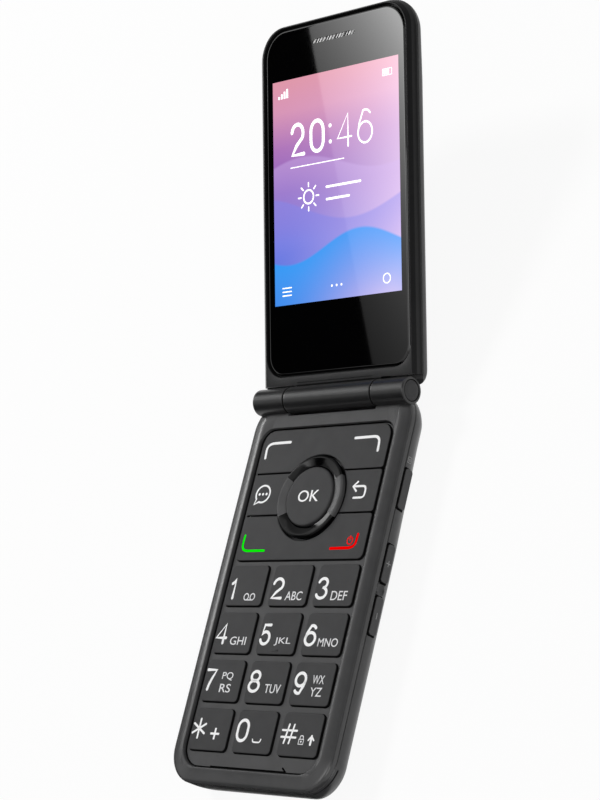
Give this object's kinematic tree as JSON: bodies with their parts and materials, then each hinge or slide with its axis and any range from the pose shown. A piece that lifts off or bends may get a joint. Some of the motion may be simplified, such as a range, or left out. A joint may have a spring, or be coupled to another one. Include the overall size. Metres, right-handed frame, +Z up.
{
  "type": "flip phone",
  "caption": "Clamshell mobile phone lying open, with a rounded keypad base, a navigation ring, side keys and a display lid on a barrel hinge.",
  "frame": {"origin": "middle of the flat back of the base, which the phone rests on", "axes": "+X to the right of the keypad, along the hinge; +Y from the keypad to the hinge; +Z up, out of the keys"},
  "size_m": [0.0531, 0.1876, 0.0418],
  "materials": {
    "housing_plastic": "satin",
    "lid_plastic": "satin",
    "key_plastic": "satin",
    "ring_plastic": "gloss",
    "window_plastic": "gloss",
    "display": "gloss",
    "board": "satin",
    "polyester": "matte",
    "black_plastic": "matte",
    "steel": "brushed",
    "contacts": "polished",
    "cell": "satin",
    "lamp": "gloss"
  },
  "bodies": {
    "base": {"base_rear_housing": "housing_plastic", "base_front_housing": "housing_plastic", "battery_cover": "housing_plastic", "dome_sheet": "polyester", "main_board": "board", "side_switches": "steel", "battery": "cell", "battery_contacts": "contacts", "loudspeaker": "black_plastic", "speaker_mesh": "steel", "vibration_motor": "steel", "card_socket": "steel", "usb_socket": "steel", "headset_jack": "black_plastic", "microphone": "steel", "base_screws": "steel", "hinge_cartridge": "steel", "hinge_caps": "housing_plastic"},
    "lid": {"lid_front_housing": "lid_plastic", "lid_rear_housing": "lid_plastic", "lid_window": "window_plastic", "display_panel": "display", "earpiece_grille": "steel", "earpiece": "black_plastic", "lid_board": "board", "outer_display": "black_plastic", "outer_window": "window_plastic", "camera_module": "black_plastic", "flash_lamp": "lamp", "lid_screws": "steel", "hinge_shaft": "steel", "hinge_pin": "steel", "flex_cable": "polyester"},
    "key_1": {"key_1": "key_plastic"},
    "key_2": {"key_2": "key_plastic"},
    "key_3": {"key_3": "key_plastic"},
    "key_4": {"key_4": "key_plastic"},
    "key_5": {"key_5": "key_plastic"},
    "key_6": {"key_6": "key_plastic"},
    "key_7": {"key_7": "key_plastic"},
    "key_8": {"key_8": "key_plastic"},
    "key_9": {"key_9": "key_plastic"},
    "key_star": {"key_star": "key_plastic"},
    "key_0": {"key_0": "key_plastic"},
    "key_hash": {"key_hash": "key_plastic"},
    "message_key": {"message_key": "key_plastic"},
    "back_key": {"back_key": "key_plastic"},
    "ok_key": {"ok_key": "key_plastic"},
    "softkey_plate": {"softkey_plate": "key_plastic"},
    "call_plate": {"call_plate": "key_plastic"},
    "nav_carrier": {"nav_carrier": "key_plastic"},
    "nav_ring": {"nav_ring": "ring_plastic"},
    "camera_key": {"camera_key": "key_plastic"},
    "volume_up_key": {"volume_up_key": "key_plastic"},
    "volume_down_key": {"volume_down_key": "key_plastic"}
  },
  "joints": [
    {"name": "lid_hinge", "type": "hinge", "parent": "base", "child": "lid", "pos_m": [0, 0.04775, 0.0103], "axis": [1, 0, 0], "range_deg": [0, 160]},
    {"name": "key_1_press", "type": "slide", "parent": "base", "child": "key_1", "axis": [0, 0, -1], "range_m": [0, 0.0003], "stiffness_N_per_m": 400},
    {"name": "key_2_press", "type": "slide", "parent": "base", "child": "key_2", "axis": [0, 0, -1], "range_m": [0, 0.0003], "stiffness_N_per_m": 400},
    {"name": "key_3_press", "type": "slide", "parent": "base", "child": "key_3", "axis": [0, 0, -1], "range_m": [0, 0.0003], "stiffness_N_per_m": 400},
    {"name": "key_4_press", "type": "slide", "parent": "base", "child": "key_4", "axis": [0, 0, -1], "range_m": [0, 0.0003], "stiffness_N_per_m": 400},
    {"name": "key_5_press", "type": "slide", "parent": "base", "child": "key_5", "axis": [0, 0, -1], "range_m": [0, 0.0003], "stiffness_N_per_m": 400},
    {"name": "key_6_press", "type": "slide", "parent": "base", "child": "key_6", "axis": [0, 0, -1], "range_m": [0, 0.0003], "stiffness_N_per_m": 400},
    {"name": "key_7_press", "type": "slide", "parent": "base", "child": "key_7", "axis": [0, 0, -1], "range_m": [0, 0.0003], "stiffness_N_per_m": 400},
    {"name": "key_8_press", "type": "slide", "parent": "base", "child": "key_8", "axis": [0, 0, -1], "range_m": [0, 0.0003], "stiffness_N_per_m": 400},
    {"name": "key_9_press", "type": "slide", "parent": "base", "child": "key_9", "axis": [0, 0, -1], "range_m": [0, 0.0003], "stiffness_N_per_m": 400},
    {"name": "key_star_press", "type": "slide", "parent": "base", "child": "key_star", "axis": [0, 0, -1], "range_m": [0, 0.0003], "stiffness_N_per_m": 400},
    {"name": "key_0_press", "type": "slide", "parent": "base", "child": "key_0", "axis": [0, 0, -1], "range_m": [0, 0.0003], "stiffness_N_per_m": 400},
    {"name": "key_hash_press", "type": "slide", "parent": "base", "child": "key_hash", "axis": [0, 0, -1], "range_m": [0, 0.0003], "stiffness_N_per_m": 400},
    {"name": "message_key_press", "type": "slide", "parent": "base", "child": "message_key", "axis": [0, 0, -1], "range_m": [0, 0.0003], "stiffness_N_per_m": 400},
    {"name": "back_key_press", "type": "slide", "parent": "base", "child": "back_key", "axis": [0, 0, -1], "range_m": [0, 0.0003], "stiffness_N_per_m": 400},
    {"name": "ok_key_press", "type": "slide", "parent": "base", "child": "ok_key", "axis": [0, 0, -1], "range_m": [0, 0.0003], "stiffness_N_per_m": 400},
    {"name": "softkey_plate_rock", "type": "hinge", "parent": "base", "child": "softkey_plate", "pos_m": [0, 0.03425, 0.0083], "axis": [0, 1, 0], "range_deg": [-0.8, 0.8], "stiffness_Nm_per_rad": 0.06},
    {"name": "call_plate_rock", "type": "hinge", "parent": "base", "child": "call_plate", "pos_m": [0, 0.01175, 0.0083], "axis": [0, 1, 0], "range_deg": [-0.8, 0.8], "stiffness_Nm_per_rad": 0.06},
    {"name": "nav_left_right", "type": "hinge", "parent": "base", "child": "nav_carrier", "pos_m": [0, 0.02185, 0.0083], "axis": [0, 1, 0], "range_deg": [-1.5, 1.5], "stiffness_Nm_per_rad": 0.03},
    {"name": "nav_up_down", "type": "hinge", "parent": "nav_carrier", "child": "nav_ring", "pos_m": [0, 0.02185, 0.00915], "axis": [1, 0, 0], "range_deg": [-1.5, 1.5], "stiffness_Nm_per_rad": 0.03},
    {"name": "camera_key_press", "type": "slide", "parent": "base", "child": "camera_key", "axis": [-1, 0, 0], "range_m": [0, 0.0003], "stiffness_N_per_m": 400},
    {"name": "volume_up_key_press", "type": "slide", "parent": "base", "child": "volume_up_key", "axis": [-1, 0, 0], "range_m": [0, 0.0003], "stiffness_N_per_m": 400},
    {"name": "volume_down_key_press", "type": "slide", "parent": "base", "child": "volume_down_key", "axis": [-1, 0, 0], "range_m": [0, 0.0003], "stiffness_N_per_m": 400}
  ]
}
